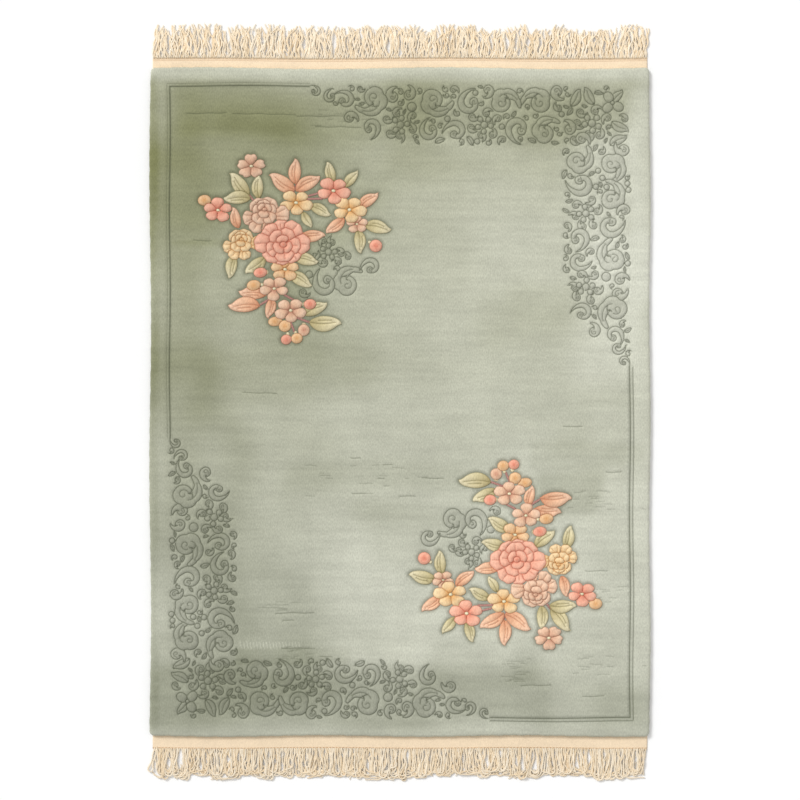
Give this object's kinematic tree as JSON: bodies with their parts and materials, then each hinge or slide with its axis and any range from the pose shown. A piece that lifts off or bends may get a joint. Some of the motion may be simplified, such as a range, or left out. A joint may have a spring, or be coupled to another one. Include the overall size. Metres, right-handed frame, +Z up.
{
  "type": "carved wool rug",
  "caption": "Flat rectangular wool pile rug with carved flower sprays and scrollwork in its corners, a carved border line, woven end webs and a cotton fringe.",
  "frame": {"origin": "on the floor under the middle of the rug", "axes": "+Z up from the underside to the pile, +Y along the rug's length towards its far fringe, +X across its width"},
  "size_m": [1.22, 1.8282, 0.0176],
  "materials": {
    "wool_pile": "cut wool pile, matte with a soft sheen",
    "cotton_web": "flat cotton weave, matte",
    "cotton_fringe": "plied cotton yarn, matte"
  },
  "bodies": {
    "root": {"carved_pile": "wool_pile", "web_far": "cotton_web", "web_near": "cotton_web", "fringe_far": "cotton_fringe", "fringe_near": "cotton_fringe"}
  },
  "joints": []
}
